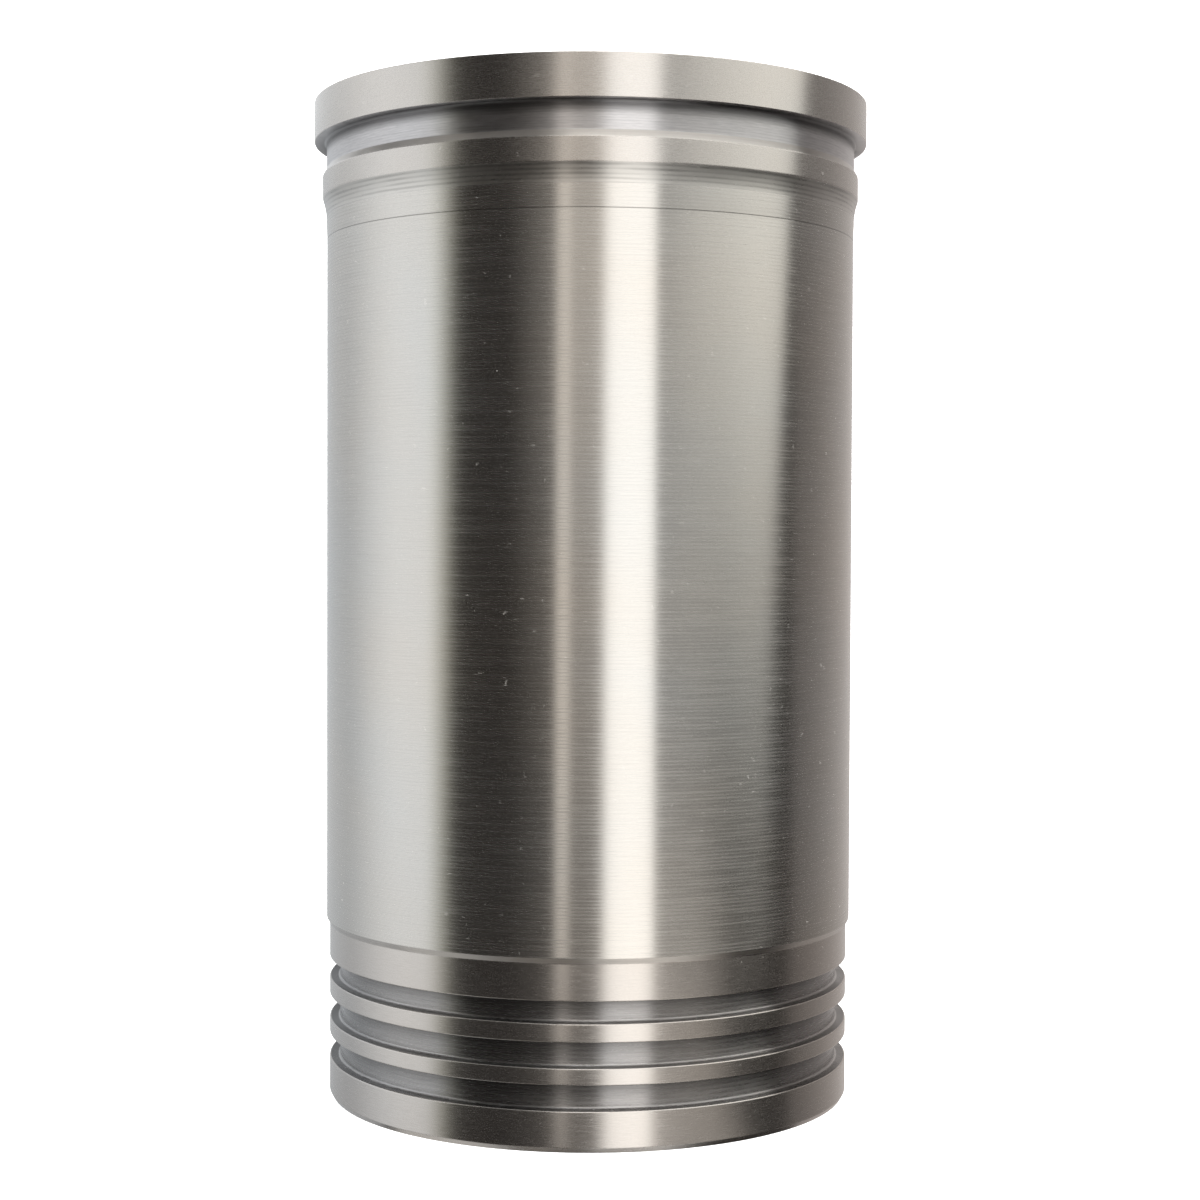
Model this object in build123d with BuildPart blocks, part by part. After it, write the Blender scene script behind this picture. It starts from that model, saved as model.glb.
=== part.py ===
"""Wet cylinder liner for a heavy diesel engine.

One turned, ground and honed iron sleeve.  The origin is the centre of its foot, and +Z runs up the
bore to the flange, which seats in a counterbore in the top of the block.
"""

from build123d import *
import math
import os

# ---------------------------------------------------------------- driving dimensions, mm

overall_height = 261.2
bore_diameter = 120.65
bore_mouth_chamfer = 0.5
bore_foot_chamfer = 1.5

# Wall in the water jacket, between the two pilots
jacket_wall = 9.425

# Flange that hangs in the block's counterbore
flange_thickness = 10.26
flange_overhang = 2.125
flange_edge_break = 0.5

# Recess under the flange that holds the filler band
recess_height = 7.25
recess_depth = 1.05
seat_fillet = 0.8

# Upper pilot land, and the ground blend from it down to the jacket wall
pilot_step = 1.15
pilot_height = 5.8
pilot_edge_round = 2.5
blend_height = 4.95
blend_radius = 20.0

# Fine gauge line scribed round the jacket wall
gauge_line_drop = 5.8
gauge_line_width = 0.3
gauge_line_depth = 0.12

# Lower pilot, with its seal grooves numbered from the foot up
seal_land_step = 0.825
foot_land_height = 10.1
seal_groove_width = 6.2
upper_groove_width = 5.35
seal_groove_pitch = 10.3
seal_groove_depth = 2.8
groove_floor_chamfer = 0.4
groove_mouth_break = 0.25
upper_land_height = 9.05
foot_chamfer = 0.75

# Lead-in cones, measured from the bore's axis
lead_in_angle = 30.0

# ---------------------------------------------------------------- radii

bore_radius = bore_diameter / 2
jacket_radius = bore_radius + jacket_wall
pilot_radius = jacket_radius + pilot_step
recess_radius = pilot_radius - recess_depth
flange_radius = pilot_radius + flange_overhang
seal_land_radius = jacket_radius - seal_land_step
foot_radius = seal_land_radius - foot_chamfer


def lead_in_height(radial_step):
    """Height of a lead-in cone that climbs one radial step."""
    return radial_step / math.tan(math.radians(lead_in_angle))


# ---------------------------------------------------------------- heights, from the flange down

seat_z = overall_height - flange_thickness
recess_foot_z = seat_z - recess_height
pilot_top_z = recess_foot_z - lead_in_height(recess_depth)
pilot_foot_z = pilot_top_z - pilot_height
jacket_top_z = pilot_foot_z - blend_height
gauge_line_z = jacket_top_z - gauge_line_drop

# ---------------------------------------------------------------- heights, from the foot up

groove_widths = [seal_groove_width, seal_groove_width, upper_groove_width]
lowest_groove_z = foot_land_height + seal_groove_width / 2
groove_centers = [lowest_groove_z + index * seal_groove_pitch for index in range(len(groove_widths))]
seal_land_top_z = groove_centers[-1] + upper_groove_width / 2 + upper_land_height
jacket_foot_z = seal_land_top_z + lead_in_height(seal_land_step)

# ---------------------------------------------------------------- the liner

with BuildPart() as cylinder_liner:

    # Blank: half of the section, turned round the axis of the bore
    with BuildSketch(Plane.XZ) as section:
        with BuildLine():
            Polyline(
                (jacket_radius, jacket_top_z),
                (jacket_radius, jacket_foot_z),
                (seal_land_radius, seal_land_top_z),
                (seal_land_radius, lead_in_height(foot_chamfer)),
                (foot_radius, 0),
                (bore_radius, 0),
                (bore_radius, overall_height),
                (flange_radius, overall_height),
                (flange_radius, seat_z),
                (recess_radius, seat_z),
                (recess_radius, recess_foot_z),
                (pilot_radius, pilot_top_z),
                (pilot_radius, pilot_foot_z),
            )
            RadiusArc((jacket_radius, jacket_top_z), (pilot_radius, pilot_foot_z), blend_radius)
        make_face()

        # Each corner below is picked by its place in the section
        fillet(section.vertices().sort_by_distance((recess_radius, seat_z))[0], seat_fillet)
        fillet(section.vertices().sort_by_distance((pilot_radius, pilot_foot_z))[0], pilot_edge_round)
        for corner_z in (seat_z, overall_height):
            chamfer(section.vertices().sort_by_distance((flange_radius, corner_z))[0], flange_edge_break)
        chamfer(section.vertices().sort_by_distance((bore_radius, overall_height))[0], bore_mouth_chamfer)
        chamfer(section.vertices().sort_by_distance((bore_radius, 0))[0], bore_foot_chamfer)
    revolve(axis=Axis.Z)

    # Gauge line, scribed round the jacket wall
    with BuildSketch(Plane.XZ):
        with Locations((jacket_radius, gauge_line_z)):
            Rectangle(2 * gauge_line_depth, gauge_line_width)
    revolve(axis=Axis.Z, mode=Mode.SUBTRACT)

    # Seal grooves, with eased corners at the floor and a broken edge at the mouth
    with BuildSketch(Plane.XZ) as seal_grooves:
        for groove_z, groove_width in zip(groove_centers, groove_widths):
            with Locations((seal_land_radius, groove_z)):
                Rectangle(2 * seal_groove_depth, groove_width)
        chamfer(seal_grooves.vertices().group_by(Axis.X)[0], groove_floor_chamfer)
    revolve(axis=Axis.Z, mode=Mode.SUBTRACT)
    groove_rims = cylinder_liner.edges(Select.NEW).filter_by(GeomType.CIRCLE)
    chamfer(groove_rims.group_by(SortBy.RADIUS)[-1], groove_mouth_break)

cylinder_liner.part.label = "cylinder_liner"

os.makedirs("parts", exist_ok=True)
export_step(cylinder_liner.part, "parts/cylinder_liner.step")
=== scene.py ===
import math

import bmesh
import bpy
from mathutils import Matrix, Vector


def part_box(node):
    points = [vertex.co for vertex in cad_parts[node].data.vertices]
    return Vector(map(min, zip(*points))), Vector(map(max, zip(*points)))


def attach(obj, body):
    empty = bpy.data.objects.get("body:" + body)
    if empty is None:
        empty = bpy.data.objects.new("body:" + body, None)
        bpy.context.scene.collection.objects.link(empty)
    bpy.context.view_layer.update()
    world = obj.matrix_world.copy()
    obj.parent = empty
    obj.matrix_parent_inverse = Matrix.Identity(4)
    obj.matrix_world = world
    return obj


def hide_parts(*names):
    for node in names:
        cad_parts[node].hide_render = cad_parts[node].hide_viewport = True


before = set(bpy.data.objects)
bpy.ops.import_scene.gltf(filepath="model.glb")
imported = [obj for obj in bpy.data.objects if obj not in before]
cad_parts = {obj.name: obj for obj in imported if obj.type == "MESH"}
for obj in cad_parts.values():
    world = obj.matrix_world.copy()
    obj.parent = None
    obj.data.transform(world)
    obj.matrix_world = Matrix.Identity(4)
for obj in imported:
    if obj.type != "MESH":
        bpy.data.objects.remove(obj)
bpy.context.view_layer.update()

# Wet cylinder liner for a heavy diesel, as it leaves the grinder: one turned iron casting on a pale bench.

MM = 0.001

# ---- Sizes of the liner, in millimetres: radii from the bore's axis, heights from the foot face ----

liner_low, liner_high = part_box("cylinder_liner")
overall_height = (liner_high.z - liner_low.z) / MM
flange_radius = max(liner_high.x, liner_high.y) / MM

bore_radius = 60.325
bore_mouth_chamfer = 0.5
bore_foot_chamfer = 1.5

jacket_radius = 69.75
pilot_radius = 70.9
recess_radius = 69.85
seal_land_radius = 68.925
foot_radius = 68.175
groove_floor_radius = 66.125

flange_thickness = 10.5
recess_foot_drop = 17.51
pilot_land_height = 5.8
blend_height = 4.95
gauge_line_drop = 5.65
gauge_line_width = 0.3
gauge_line_depth = 0.05
gauge_line_slope = 0.08

# The cones under the recess and at the jacket's foot fall by this for each unit they run in.
cone_fall = math.sqrt(3.0)

flange_foot = overall_height - flange_thickness
recess_foot = overall_height - recess_foot_drop
pilot_top = recess_foot - (pilot_radius - recess_radius) * cone_fall
pilot_foot = pilot_top - pilot_land_height
jacket_top = pilot_foot - blend_height
gauge_line_top = jacket_top - gauge_line_drop
gauge_line_foot = gauge_line_top - gauge_line_width

# Each groove's foot and width, from the foot of the liner up.
seal_grooves = [(10.1, 6.2), (20.4, 6.2), (31.125, 5.35)]
top_seal_land_height = 9.05
seal_land_top = seal_grooves[-1][0] + seal_grooves[-1][1] + top_seal_land_height
jacket_foot = seal_land_top + (jacket_radius - seal_land_radius) * cone_fall
foot_chamfer_top = (seal_land_radius - foot_radius) * cone_fall

# The concave blend under the pilot land: where its two tangents meet, and how far it reaches along them.
blend_corner = (jacket_radius + 0.23, jacket_top + 2.4287)
blend_reach = 2.5

# A face or a point this near to a size belongs to it.
near = 0.01

# Rounds in the corners and breaks on the edges.
seat_fillet = 0.8
groove_round = 0.6
groove_rim_break = 0.35
flange_top_break = 0.2
flange_foot_break = 0.12
land_break = 0.2
bore_foot_break = 0.3
fine_break = 0.15
foot_break = 0.1

# How far the painted shade under the flange seat stays full, and how far down it fades out.
painted_shade_depth = 1.2
painted_shade_reach = 3.5
# Painted shade on the flange seat's underside and on the seal grooves' walls, and on the grooves' floors growing
# towards each groove's top.
seat_painted_shade = 0.75
groove_wall_painted_shade = 0.8
groove_foot_painted_shade = 0.1
groove_painted_shade_growth = 0.8

# ---- Camera ----

camera_distance = 603.16
camera_height = 146.89
camera_pitch = 1.545
camera_turn = 0.272
camera_roll = 0.215
lens_length = 67.515


def stand_camera():
    lens = bpy.data.cameras.new("bench_camera")
    lens.lens = lens_length
    lens.sensor_width = 36.0
    lens.clip_start, lens.clip_end = 0.01, 20.0
    camera = bpy.data.objects.new("bench_camera", lens)
    camera.location = (0.0, -camera_distance * MM, liner_low.z + camera_height * MM)
    camera.rotation_euler = (math.radians(90.0 - camera_pitch), math.radians(-camera_roll),
                             math.radians(-camera_turn))
    bpy.context.scene.collection.objects.link(camera)
    bpy.context.scene.camera = camera


stand_camera()

# ---- The turned shape ----

turns = 360


def section_corners():
    """Corners of the turned section in order, from the bore's foot up, over the flange and down the outside.
    Each is (radius, height, reach of its edge break, cuts in the break)."""
    corners = [
        (bore_radius, bore_foot_chamfer, bore_foot_break, 3),
        (bore_radius, overall_height - bore_mouth_chamfer, fine_break, 3),
        (bore_radius + bore_mouth_chamfer, overall_height, fine_break, 3),
        (flange_radius, overall_height, flange_top_break, 4),
        (flange_radius, flange_foot, flange_foot_break, 3),
        (recess_radius, flange_foot, seat_fillet, 7),
        # These two rings carry the painted shade's fade down the recess wall.
        (recess_radius, flange_foot - painted_shade_depth, 0.0, 0),
        (recess_radius, flange_foot - painted_shade_reach, 0.0, 0),
        (recess_radius, recess_foot, land_break, 3),
        (pilot_radius, pilot_top, land_break, 3),
        (pilot_radius, pilot_foot, land_break, 4),
        (*blend_corner, blend_reach, 14),
        (jacket_radius, gauge_line_top, 0.0, 0),
        (jacket_radius - gauge_line_depth, gauge_line_top - gauge_line_slope, 0.0, 0),
        (jacket_radius - gauge_line_depth, gauge_line_foot + gauge_line_slope, 0.0, 0),
        (jacket_radius, gauge_line_foot, 0.0, 0),
        (jacket_radius, jacket_foot, fine_break, 3),
        (seal_land_radius, seal_land_top, fine_break, 3),
    ]
    for groove_foot, groove_width in reversed(seal_grooves):
        groove_top = groove_foot + groove_width
        corners += [
            (seal_land_radius, groove_top, groove_rim_break, 5),
            (groove_floor_radius, groove_top, groove_round, 6),
            (groove_floor_radius, groove_foot, groove_round, 6),
            (seal_land_radius, groove_foot, groove_rim_break, 5),
        ]
    corners += [
        (seal_land_radius, foot_chamfer_top, fine_break, 3),
        (foot_radius, 0.0, foot_break, 3),
        (bore_radius + bore_foot_chamfer, 0.0, bore_foot_break, 3),
    ]
    return corners


def break_corners(section, corners):
    """Rounds each corner of a wire section by its own reach."""
    for corner, (_, _, reach, cuts) in corners:
        if not cuts:
            continue
        bmesh.ops.bevel(section, geom=[corner], offset=reach * MM, offset_type="OFFSET", segments=cuts,
                        profile=0.5, affect="VERTICES", material=-1)


def turn_liner():
    """Lays out the section, breaks its corners and turns it about the bore's axis."""
    shape = bmesh.new()
    sizes = section_corners()
    points = [shape.verts.new((radius * MM, 0.0, liner_low.z + height * MM)) for radius, height, _, _ in sizes]
    for here, there in zip(points, points[1:] + points[:1]):
        shape.edges.new((here, there))
    break_corners(shape, list(zip(points, sizes)))
    bmesh.ops.spin(shape, geom=shape.verts[:] + shape.edges[:], cent=(0.0, 0.0, 0.0), axis=(0.0, 0.0, 1.0),
                   dvec=(0.0, 0.0, 0.0), angle=math.tau, steps=turns, use_merge=True, use_duplicate=False)
    bmesh.ops.remove_doubles(shape, verts=shape.verts[:], dist=0.001 * MM)
    bmesh.ops.recalc_face_normals(shape, faces=shape.faces[:])
    return shape


# ---- Nodes for the finishes ----

# The hone winds by so many radians a metre, and its scratches change by this much a metre along their length.
honing_twist = 35.6
hone_stroke = 6.0

# How much light handling marks scatter every way.
scar_haze = 0.12

# On the marks' scale of 0 to 1: where turning lines stop darkening the iron, where their crests grow rougher, and
# the span over which grinding streaks work.
line_shade_span = (0.1, 0.6)
line_gloss_span = (0.4, 0.8)
streak_span = (0.3, 0.7)

# Iron drifts from its own tint to one that is this many times it, in blooms of about 60 mm.
bloom_scale = 16.0
bloom_span = (0.35, 0.65)
bloom_tint = (1.02, 0.985, 0.95)


def add_node(tree, kind, plugs=None, **settings):
    """One node with its settings, and its inputs either set or wired to other nodes' outputs."""
    node = tree.nodes.new(kind)
    for setting, value in settings.items():
        setattr(node, setting, value)
    for socket, value in (plugs or {}).items():
        if isinstance(value, bpy.types.NodeSocket):
            tree.links.new(value, node.inputs[socket])
        else:
            node.inputs[socket].default_value = value
    return node


def maths(tree, operation, *values):
    return add_node(tree, "ShaderNodeMath", dict(enumerate(values)), operation=operation).outputs[0]


def scale_range(tree, value, low, high, to_low, to_high, smooth=False):
    """value between low and high becomes to_low to to_high, and stays there outside."""
    kind = "SMOOTHSTEP" if smooth else "LINEAR"
    return add_node(tree, "ShaderNodeMapRange", {0: value, 1: low, 2: high, 3: to_low, 4: to_high},
                    interpolation_type=kind).outputs[0]


def stretched(tree, place, across, along):
    """Object coordinates scaled for marks that run round the part: per metre across the bench and up the axis."""
    return add_node(tree, "ShaderNodeMapping", {"Vector": place, "Scale": (across, across, along)}).outputs[0]


def noise(tree, vector, scale=1.0, detail=2.0, roughness=0.5, distortion=0.0):
    return add_node(tree, "ShaderNodeTexNoise", {"Vector": vector, "Scale": scale, "Detail": detail,
                                                 "Roughness": roughness, "Distortion": distortion}).outputs[0]


def feed_lines(tree, place, pitch):
    """The fine helix that the tool leaves, uneven from turn to turn and broken along its length. 0 to 1."""
    ridges = add_node(tree, "ShaderNodeTexWave", {
        "Vector": stretched(tree, place, 0.0, 1.0 / (pitch * MM)), "Scale": math.pi / 10.0,
        "Distortion": 0.7, "Detail": 1.0, "Detail Scale": 0.35}, bands_direction="Z", wave_profile="SIN").outputs[1]
    broken = noise(tree, stretched(tree, place, 0.07 / MM, 0.8 / (pitch * MM)), detail=1.0)
    return maths(tree, "MULTIPLY_ADD", ridges, 0.55, scale_range(tree, broken, 0.3, 0.7, 0.0, 0.45))


def short_streaks(tree, place, length, height):
    """Grit marks of a grinding wheel: short fine streaks along the cut. 0 to 1, mean about a half."""
    return noise(tree, stretched(tree, place, 1.0 / (length * MM), 1.0 / (height * MM)), detail=3.0, roughness=0.65)


def handling_marks(tree, place, size, share):
    """Short curved nicks and fine specks from handling: 1 on a mark, 0 off it."""
    bend = add_node(tree, "ShaderNodeTexNoise", {"Vector": place, "Scale": 1.4 / (size * MM), "Detail": 1.0})
    shift = add_node(tree, "ShaderNodeVectorMath", {0: bend.outputs[1], "Scale": 1.1 * size * MM}, operation="SCALE")
    warped = add_node(tree, "ShaderNodeVectorMath", {0: place, 1: shift.outputs[0]}, operation="ADD").outputs[0]
    cells = add_node(tree, "ShaderNodeTexVoronoi", {"Vector": warped, "Scale": 1.0 / (size * MM)},
                     feature="DISTANCE_TO_EDGE").outputs[0]
    nick = scale_range(tree, cells, 0.015, 0.04, 1.0, 0.0)
    where = noise(tree, place, scale=2.4 / (size * MM), detail=1.0)
    nick = maths(tree, "MULTIPLY", nick, scale_range(tree, where, 0.78 - share, 0.82 - share, 0.0, 1.0))
    dots = add_node(tree, "ShaderNodeTexVoronoi", {"Vector": place, "Scale": 1.6 / (size * MM)})
    speck = scale_range(tree, dots.outputs[0], 0.05, 0.09, 1.0, 0.0)
    kept = add_node(tree, "ShaderNodeSeparateXYZ", {0: dots.outputs[1]}).outputs[0]
    speck = maths(tree, "MULTIPLY", speck, scale_range(tree, kept, 1.0 - 0.4 * share, 1.01 - 0.4 * share, 0.0, 0.8))
    return maths(tree, "MAXIMUM", nick, speck)


def rings_place(tree, place):
    """Coordinates for marks that run in rings on a flat face: its third axis is the distance from the bore's axis."""
    axes = add_node(tree, "ShaderNodeSeparateXYZ", {0: place})
    flat = add_node(tree, "ShaderNodeCombineXYZ", {0: axes.outputs[0], 1: axes.outputs[1]}).outputs[0]
    reach = add_node(tree, "ShaderNodeVectorMath", {0: flat}, operation="LENGTH").outputs[1]
    return add_node(tree, "ShaderNodeCombineXYZ", {0: axes.outputs[0], 1: axes.outputs[1], 2: reach}).outputs[0]


def honing_place(tree, place, twist):
    """Coordinates that wind about the bore's axis by so many radians a metre, for one way of a honed cross hatch."""
    height = add_node(tree, "ShaderNodeSeparateXYZ", {0: place}).outputs[2]
    wound = maths(tree, "MULTIPLY", height, twist)
    return add_node(tree, "ShaderNodeVectorRotate", {"Vector": place, "Angle": wound},
                    rotation_type="Z_AXIS").outputs[0]


def cross_hatch(tree, place, width):
    """The two ways of fine scratches that a hone leaves. 0 to 1."""
    ways = [noise(tree, stretched(tree, honing_place(tree, place, twist), 1.0 / (width * MM), hone_stroke),
                  detail=2.0, roughness=0.7) for twist in (honing_twist, -honing_twist)]
    return maths(tree, "MAXIMUM", *ways)


def iron_finish(name, tint, roughness, draw, *, lay="round", feed=None, feed_depth=0.0, feed_gloss=0.0,
                feed_haze=0.0, feed_shade=0.0, grain=None, grain_depth=0.0, grain_gloss=0.0, grain_shade=0.05,
                marks=None, painted_shade_strength=0.0):
    """Bare cast iron with the marks of the tool that cut it.
    tint is its colour, and draw is how far highlights are drawn out across the marks. lay is how the marks run:
    round the part, in rings on a flat face, or as a cross hatch. feed is the pitch of the turning lines. grain is
    the length and height of the grinding streaks, or for a cross hatch its second number is the width of a scratch.
    marks is the size of the handling marks and their share. Lengths and depths are in millimetres.
    The gloss numbers are how much rougher the crests are than the hollows. feed_haze is how much light the crests
    scatter every way, and feed_shade and grain_shade are how much darker the hollows are. The last argument is how
    much painted shade darkens the colour in the corners under the flange and pilot land and in the seal grooves."""
    finish = bpy.data.materials.new(name)
    finish.use_nodes = True
    tree = finish.node_tree
    tree.nodes.clear()
    place = add_node(tree, "ShaderNodeTexCoord").outputs["Object"]
    along = rings_place(tree, place) if lay == "rings" else place
    lift, shade, gloss, haze = 0.0, 1.0, roughness, 0.0
    if feed:
        lines = feed_lines(tree, along, feed)
        lift = maths(tree, "MULTIPLY_ADD", lines, feed_depth, lift)
        shade = scale_range(tree, lines, *line_shade_span, 1.0 - feed_shade, 1.0)
        gloss = scale_range(tree, lines, *line_gloss_span, roughness, roughness + feed_gloss)
        haze = maths(tree, "MULTIPLY", lines, feed_haze)
    if grain:
        streaks = cross_hatch(tree, place, grain[1]) if lay == "hatch" else short_streaks(tree, along, *grain)
        lift = maths(tree, "MULTIPLY_ADD", streaks, grain_depth, lift)
        shade = maths(tree, "MULTIPLY", shade,
                      scale_range(tree, streaks, *streak_span, 1.0 - grain_shade, 1.0 + grain_shade))
        gloss = maths(tree, "ADD", gloss,
                      scale_range(tree, streaks, *streak_span, -0.4 * grain_gloss, 0.6 * grain_gloss))
    if marks:
        haze = maths(tree, "MULTIPLY_ADD", handling_marks(tree, place, *marks), scar_haze, haze)
    # Painted shade: the colour is darkened by each point's share of painted shade, deepest in the corners.
    if painted_shade_strength:
        painted_shade_amount = add_node(tree, "ShaderNodeAttribute", attribute_name="painted_shade").outputs[2]
        shade = maths(tree, "MULTIPLY", shade, maths(tree, "MULTIPLY_ADD", painted_shade_amount, -painted_shade_strength, 1.0))
    bloom = scale_range(tree, noise(tree, place, scale=bloom_scale, detail=3.0), *bloom_span, 0.0, 1.0)
    bloomed = [own * times for own, times in zip(tint, bloom_tint)]
    mixed = add_node(tree, "ShaderNodeMix", {0: bloom, 6: (*tint, 1.0), 7: (*bloomed, 1.0)},
                     data_type="RGBA").outputs[2]
    colour = add_node(tree, "ShaderNodeVectorMath", {0: mixed, "Scale": shade}, operation="SCALE").outputs[0]
    relief = add_node(tree, "ShaderNodeBump", {"Strength": 1.0, "Distance": MM, "Height": lift}).outputs[0]
    skin = add_node(tree, "ShaderNodeBsdfPrincipled", {
        "Base Color": colour, "Metallic": maths(tree, "SUBTRACT", 1.0, haze), "Roughness": gloss, "Anisotropic": draw,
        "Anisotropic Rotation": 0.25, "Normal": relief})
    add_node(tree, "ShaderNodeOutputMaterial", {"Surface": skin.outputs[0]})
    return finish


ground_iron = iron_finish("ground_iron", (0.592, 0.566, 0.541), 0.262, 0.76, grain=(3.2, 0.2), grain_depth=0.0016,
                          grain_gloss=0.07, grain_shade=0.06, marks=(6.0, 0.06))
land_iron = iron_finish("land_iron", (0.578, 0.55, 0.525), 0.24, 0.7, grain=(3.2, 0.2), grain_depth=0.0014,
                        grain_gloss=0.07, grain_shade=0.06, marks=(6.0, 0.06))
turned_iron = iron_finish("turned_iron", (0.625, 0.608, 0.582), 0.222, 0.9, feed=0.85, feed_depth=0.0032,
                          feed_gloss=0.062, feed_haze=0.003, feed_shade=0.06, grain=(2.4, 0.4), grain_depth=0.0003,
                          grain_gloss=0.012, grain_shade=0.015, marks=(4.5, 0.09))
# The blend, the groove and the recess finishes are darkened with painted shade in their corners.
blend_iron = iron_finish("blend_iron", (0.65, 0.635, 0.61), 0.276, 0.86, feed=1.1, feed_depth=0.009,
                         feed_gloss=0.05, feed_haze=0.004, feed_shade=0.28, grain=(3.0, 0.4), grain_depth=0.0004,
                         grain_gloss=0.012, grain_shade=0.02, marks=(4.5, 0.05), painted_shade_strength=0.24)
cone_iron = iron_finish("cone_iron", (0.60, 0.575, 0.55), 0.3, 0.95, feed=0.6, feed_gloss=0.03, feed_shade=0.06)
relief_iron = iron_finish("relief_iron", (0.49, 0.48, 0.48), 0.265, 0.95, feed=1.1, feed_depth=0.006,
                          feed_gloss=0.06, feed_haze=0.01, feed_shade=0.1, grain=(5.0, 0.35), grain_depth=0.0006,
                          grain_gloss=0.03, grain_shade=0.1, painted_shade_strength=0.68)
recess_iron = iron_finish("recess_iron", (0.60, 0.59, 0.60), 0.3, 0.97, feed=0.7, feed_depth=0.005,
                          feed_gloss=0.06, feed_haze=0.012, feed_shade=0.12, grain=(3.6, 0.25), grain_depth=0.001,
                          grain_gloss=0.06, grain_shade=0.13, painted_shade_strength=0.70)
# The scribed gauge line's dark tint is painted shade, standing in for the shade inside its narrow cut.
painted_shade_scribed_iron = iron_finish("painted_shade_scribed_iron", (0.34, 0.33, 0.315), 0.22, 0.88)
faced_iron = iron_finish("faced_iron", (0.60, 0.585, 0.56), 0.3, 0.7, lay="rings", feed=0.9, feed_depth=0.0025,
                         feed_gloss=0.1, feed_haze=0.01, feed_shade=0.09, grain=(2.2, 0.3), grain_depth=0.001,
                         grain_gloss=0.06)
honed_iron = iron_finish("honed_iron", (0.62, 0.61, 0.59), 0.32, 0.2, lay="hatch", grain=(2.2, 1.3),
                         grain_depth=0.006, grain_gloss=0.16, grain_shade=0.2)

# ---- The liner ----

finishes = [ground_iron, land_iron, turned_iron, blend_iron, cone_iron, relief_iron, recess_iron, painted_shade_scribed_iron,
            faced_iron, honed_iron]


def finish_at(radius, height):
    """Which finish the face at this radius and height has."""
    if radius < bore_radius + fine_break / 3.0:
        return honed_iron
    if height > overall_height - near or height < near:
        return faced_iron
    if radius < bore_radius + bore_foot_chamfer + bore_foot_break:
        return faced_iron
    if recess_foot < height < flange_foot + near and radius < flange_radius - flange_foot_break - near:
        return recess_iron
    if gauge_line_foot < height < gauge_line_top and radius < jacket_radius - gauge_line_depth / 4.0:
        return painted_shade_scribed_iron
    if pilot_top < height < recess_foot:
        return cone_iron
    if seal_land_top < height < jacket_foot and radius > seal_land_radius + near:
        return cone_iron
    if jacket_top < height < pilot_foot - land_break:
        return blend_iron
    if jacket_foot < height <= jacket_top:
        return turned_iron
    if radius < seal_land_radius - groove_rim_break + near and height > foot_chamfer_top:
        return relief_iron
    if height < jacket_foot:
        return land_iron
    return ground_iron


def painted_shade_at(radius, height):
    """How much painted shade this place gets: 1 right in the corner and 0 in the open. It stands in for the shade
    under the flange seat, under the pilot land and in the seal grooves.
    """
    # Painted shade under the flange: set on the seat's underside, and fading down the recess wall.
    if recess_foot - near < height < flange_foot + near and radius < flange_radius - flange_foot_break - near:
        if radius > recess_radius + seat_fillet:
            return seat_painted_shade
        below_seat = flange_foot - height
        return min(1.0, max(0.0, (painted_shade_reach - below_seat) / (painted_shade_reach - painted_shade_depth)))
    # Painted shade on the blend, growing towards the pilot land above it.
    if jacket_top < height < pilot_foot:
        return (height - jacket_top) / (pilot_foot - jacket_top)
    # Painted shade in the seal grooves: set on the walls, and growing up each floor towards the groove's top.
    for groove_foot, groove_width in seal_grooves:
        above_foot = height - groove_foot
        if -near < above_foot < groove_width + near and radius < seal_land_radius - groove_rim_break / 2.0:
            if radius > groove_floor_radius + groove_round:
                return groove_wall_painted_shade
            return groove_foot_painted_shade + groove_painted_shade_growth * above_foot / groove_width
    return 0.0


def weigh_normals(piece):
    """Makes the long walls keep their own normals beside the small edge breaks, and settles it into the mesh."""
    weighed = piece.modifiers.new("weighed_normals", "WEIGHTED_NORMAL")
    weighed.mode = "FACE_AREA"
    weighed.weight = 50
    settled = bpy.data.meshes.new_from_object(piece.evaluated_get(bpy.context.evaluated_depsgraph_get()))
    piece.modifiers.clear()
    rough, piece.data = piece.data, settled
    bpy.data.meshes.remove(rough)
    settled.name = piece.name


def make_liner():
    shape = turn_liner()
    # Each point keeps its share of painted shade in a point attribute for the finishes to read.
    painted_shade = shape.verts.layers.float.new("painted_shade")
    for point in shape.verts:
        point[painted_shade] = painted_shade_at(math.hypot(point.co.x, point.co.y) / MM, (point.co.z - liner_low.z) / MM)
    for face in shape.faces:
        face.smooth = True
        centre = face.calc_center_median()
        radius = math.hypot(centre.x, centre.y) / math.cos(math.pi / turns)
        face.material_index = finishes.index(finish_at(radius / MM, (centre.z - liner_low.z) / MM))
    mesh = bpy.data.meshes.new("turned_liner")
    shape.to_mesh(mesh)
    shape.free()
    for finish in finishes:
        mesh.materials.append(finish)
    liner = bpy.data.objects.new("turned_liner", mesh)
    bpy.context.scene.collection.objects.link(liner)
    weigh_normals(liner)
    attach(liner, "root")
    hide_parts("cylinder_liner")


make_liner()

# ---- The bench and the lights ----

# The bench and the cards are in metres, and the cards' ends in degrees from the front, growing to the right.
bench_radius = 3.0
bench_sweep = 0.8
backdrop_height = 3.0
bench_tone = 0.8
bench_glow = 0.8

card_ring = 1.0
card_gap = 0.004

pale = (0.99, 1.0, 0.985)
cool = (0.95, 1.0, 1.045)
clean = (0.98, 1.0, 1.01)
warm = (1.0, 0.95, 0.885)
brown = (1.0, 0.94, 0.91)


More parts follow.
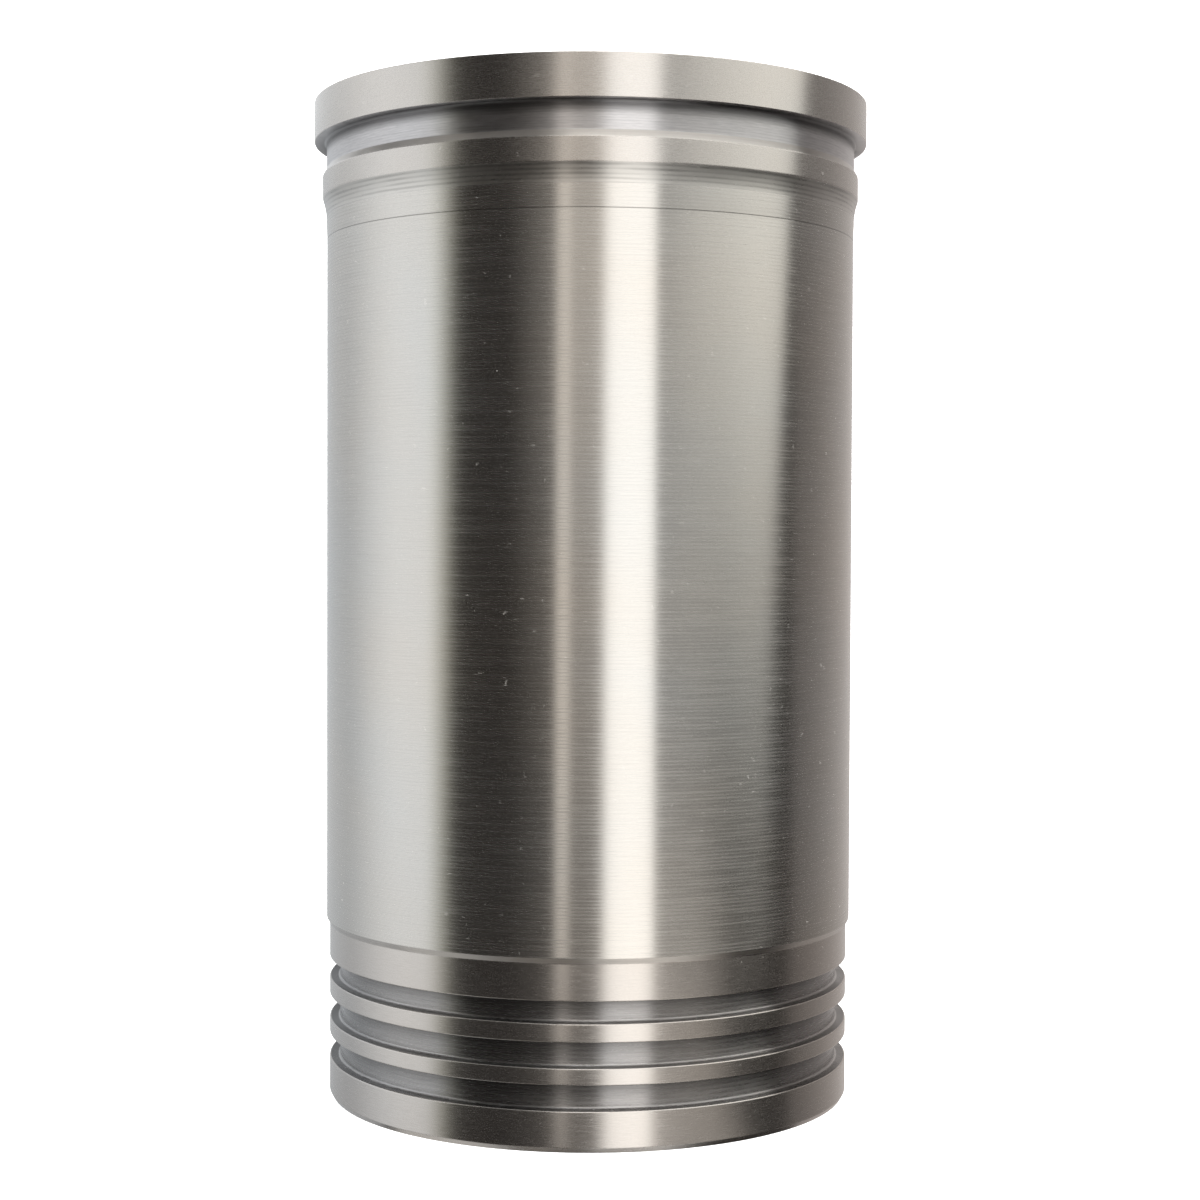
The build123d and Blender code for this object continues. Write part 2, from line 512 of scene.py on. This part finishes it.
def spun_sheet(name, profile, sweep, steps, bends=()):
    """A sheet made by turning a line of points about the bore's axis. bends are (point number, reach)."""
    shape = bmesh.new()
    points = [shape.verts.new(point) for point in profile]
    for here, there in zip(points, points[1:]):
        shape.edges.new((here, there))
    for number, reach in bends:
        bmesh.ops.bevel(shape, geom=[points[number]], offset=reach, offset_type="OFFSET", segments=12,
                        profile=0.5, affect="VERTICES", material=-1)
    bmesh.ops.spin(shape, geom=shape.verts[:] + shape.edges[:], cent=(0.0, 0.0, 0.0), axis=(0.0, 0.0, 1.0),
                   dvec=(0.0, 0.0, 0.0), angle=math.radians(sweep), steps=steps, use_merge=sweep == 360.0,
                   use_duplicate=False)
    bmesh.ops.remove_doubles(shape, verts=shape.verts[:], dist=0.01 * MM)
    bmesh.ops.recalc_face_normals(shape, faces=shape.faces[:])
    mesh = bpy.data.meshes.new(name)
    shape.to_mesh(mesh)
    shape.free()
    sheet = bpy.data.objects.new(name, mesh)
    bpy.context.scene.collection.objects.link(sheet)
    return sheet


def lay_bench():
    """A round pale bench that sweeps up into its backdrop. It stays out of the iron's reflections."""
    bench = spun_sheet("pale_bench", [(0.0, 0.0, liner_low.z), (bench_radius, 0.0, liner_low.z),
                                      (bench_radius, 0.0, backdrop_height)], 360.0, 96, bends=[(1, bench_sweep)])
    bench.visible_glossy = False
    for face in bench.data.polygons:
        face.use_smooth = True
    paint = bpy.data.materials.new("pale_paint")
    paint.use_nodes = True
    paint.cycles.emission_sampling = "NONE"
    tree = paint.node_tree
    tree.nodes.clear()
    matt = add_node(tree, "ShaderNodeBsdfDiffuse", {"Color": (bench_tone, bench_tone, bench_tone, 1.0)}).outputs[0]
    lit = add_node(tree, "ShaderNodeEmission", {"Color": (1.0, 1.0, 1.0, 1.0), "Strength": bench_glow}).outputs[0]
    add_node(tree, "ShaderNodeOutputMaterial",
             {"Surface": add_node(tree, "ShaderNodeAddShader", {0: matt, 1: lit}).outputs[0]})
    bench.data.materials.append(paint)


def card_light(name, glow, tint, start, end, feathers, lean, heights, shares):
    """Light of one card: full in its middle and fading over its feathered ends, of which the right one may lean by
    so many degrees a metre. heights and shares say how it changes upwards."""
    light = bpy.data.materials.new(name)
    light.use_nodes = True
    light.cycles.emission_sampling = "NONE"
    tree = light.node_tree
    tree.nodes.clear()
    axes = add_node(tree, "ShaderNodeSeparateXYZ", {0: add_node(tree, "ShaderNodeTexCoord").outputs["Object"]})
    front = maths(tree, "MULTIPLY", axes.outputs[1], -1.0)
    turn = maths(tree, "DEGREES", maths(tree, "ARCTAN2", axes.outputs[0], front))
    level = scale_range(tree, turn, start, start + feathers[0], 0.0, glow, smooth=True)
    leant = maths(tree, "MULTIPLY_ADD", axes.outputs[2], -lean, turn)
    level = maths(tree, "MULTIPLY", level, scale_range(tree, leant, end - feathers[1], end, 1.0, 0.0, smooth=True))
    level = maths(tree, "MULTIPLY", level, scale_range(tree, axes.outputs[2], *heights, *shares))
    lamp = add_node(tree, "ShaderNodeEmission", {"Color": (*tint, 1.0), "Strength": level}).outputs[0]
    clear = add_node(tree, "ShaderNodeBsdfTransparent").outputs[0]
    add_node(tree, "ShaderNodeOutputMaterial",
             {"Surface": add_node(tree, "ShaderNodeAddShader", {0: clear, 1: lamp}).outputs[0]})
    return light


def card(name, profile, start, end, glow, tint, feathers, lean=0.0, heights=(-1.0, 1.0), shares=(1.0, 1.0)):
    """A soft card bent round the part from start to end, in degrees from the front, growing to the right."""
    spare = abs(lean) * 2.0
    begin = math.radians(start - spare)
    across = [(radius * math.sin(begin), -radius * math.cos(begin), z) for radius, z in profile]
    sheet = spun_sheet(name, across, end - start + 2.0 * spare, max(6, round((end - start) / 4)))
    sheet.data.materials.append(card_light(name, glow, tint, start, end, feathers, lean, heights, shares))
    sheet.visible_camera = False
    sheet.visible_shadow = False


cards_hung = []


def hang_card(name, start, end, glow, tint=pale, feathers=(3.0, 3.0), foot=-0.8, head=0.9, **rest):
    """A card that stands upright round the part. Each hangs a little outside the last."""
    ring = card_ring + card_gap * len(cards_hung)
    cards_hung.append(name)
    card(name, [(ring, foot), (ring, head)], start, end, glow, tint, feathers, **rest)


def flat_card(name, start, end, height, glow, tint=pale, feathers=(8.0, 8.0), inner=0.3, outer=1.0):
    """A level card, over the part or under the bench. Each lies a little higher than it says, by its turn."""
    height += card_gap * len(cards_hung)
    cards_hung.append(name)
    card(name, [(inner, height), (outer, height)], start, end, glow, tint, feathers)


def dim_room():
    """A nearly dark room round the bench, so that the cards make all the light."""
    scene = bpy.context.scene
    scene.view_settings.view_transform = "Standard"
    world = bpy.data.worlds.new("dim_room")
    world.use_nodes = True
    world.node_tree.nodes["Background"].inputs[0].default_value = (0.039, 0.036, 0.034, 1.0)
    scene.world = world


def hang_upright_cards():
    hang_card("left_softbox", -128.0, -54.4, 0.5, tint=clean, feathers=(45.0, 18.0), head=0.75, lean=5.5,
              heights=(-0.3, -0.08), shares=(0.7, 1.0))
    hang_card("left_back_card", -178.0, -56.4, 0.60, tint=cool, feathers=(16.0, 16.0), head=0.75, lean=5.5,
              heights=(-0.3, -0.08), shares=(0.7, 1.0))
    hang_card("left_warm_edge", -74.0, -55.7, 0.06, tint=(1.0, 0.95, 0.1), feathers=(10.0, 7.0), lean=5.5)
    hang_card("front_haze", -36.0, -8.0, 0.10, tint=warm, feathers=(22.0, 6.0), heights=(-0.1, 0.45),
              shares=(0.35, 2.2))
    hang_card("front_card", -12.0, 8.0, 0.95, tint=warm, feathers=(6.0, 3.0), heights=(-0.17, 0.45),
              shares=(0.07, 0.71))
    hang_card("narrow_strip", -14.4, -6.8, 0.76, tint=warm, feathers=(2.0, 2.5), heights=(-0.3, -0.06),
              shares=(0.02, 1.0))
    hang_card("low_strip", -14.4, -6.8, 0.36, tint=warm, feathers=(2.0, 2.5), foot=-0.28, heights=(-0.12, 0.2),
              shares=(1.0, 0.0))
    hang_card("main_softbox", 3.4, 28.2, 1.62, tint=(0.995, 1.0, 0.99), feathers=(5.5, 3.0), heights=(-0.3, -0.1),
              shares=(0.8, 1.0))
    hang_card("right_near_screen", 25.0, 60.0, 0.29, feathers=(3.0, 35.0), lean=22.0, heights=(-0.34, -0.02),
              shares=(0.28, 1.0))
    hang_card("right_screen", 14.0, 78.0, 1.24, tint=(0.99, 1.0, 0.96), feathers=(61.0, 4.0), lean=37.0,
              heights=(-0.05, 0.38), shares=(0.0, 1.0))
    hang_card("far_right_card", 82.0, 178.0, 0.5, tint=brown, feathers=(93.0, 3.0))
    hang_card("right_dark_card", 90.0, 165.0, 0.09, tint=brown, feathers=(10.0, 3.0))
    hang_card("high_left_card", -178.0, -70.0, 0.36, tint=cool, feathers=(10.0, 60.0), foot=0.43, head=0.8)
    hang_card("high_right_card", 90.0, 178.0, 0.1, feathers=(6.0, 10.0), foot=0.43, head=0.8)
    hang_card("high_back_right_card", 125.0, 178.0, 0.9, feathers=(20.0, 4.0), foot=0.88, head=1.4)
    hang_card("high_back_left_card", -178.0, -115.0, 0.9, feathers=(4.0, 20.0), foot=0.88, head=1.4)


def lay_level_cards():
    flat_card("overhead_softbox", -30.0, 150.0, 1.25, 1.8, feathers=(20.0, 50.0), outer=1.42)
    flat_card("overhead_front_card", -68.0, -20.0, 1.25, 0.42, feathers=(12.0, 14.0))
    flat_card("overhead_left_card", -175.0, -58.0, 1.25, 0.6, feathers=(40.0, 14.0), outer=1.25)
    flat_card("overhead_disc", -180.0, 180.0, 1.25, 0.9, feathers=(0.01, 0.01), inner=0.0, outer=0.4)
    flat_card("bench_bounce", -4.0, 74.0, -1.0, 0.85, feathers=(12.0, 16.0))
    flat_card("bench_bounce_left", -170.0, -52.0, -1.0, 0.65, feathers=(10.0, 20.0))
    flat_card("bench_bounce_front", -60.0, 4.0, -1.0, 0.32, tint=warm, feathers=(20.0, 14.0))
    flat_card("foot_bounce", -8.0, 60.0, -0.108, 0.38, tint=warm, feathers=(34.0, 20.0), inner=0.09, outer=0.42)


lay_bench()
dim_room()
hang_upright_cards()
lay_level_cards()
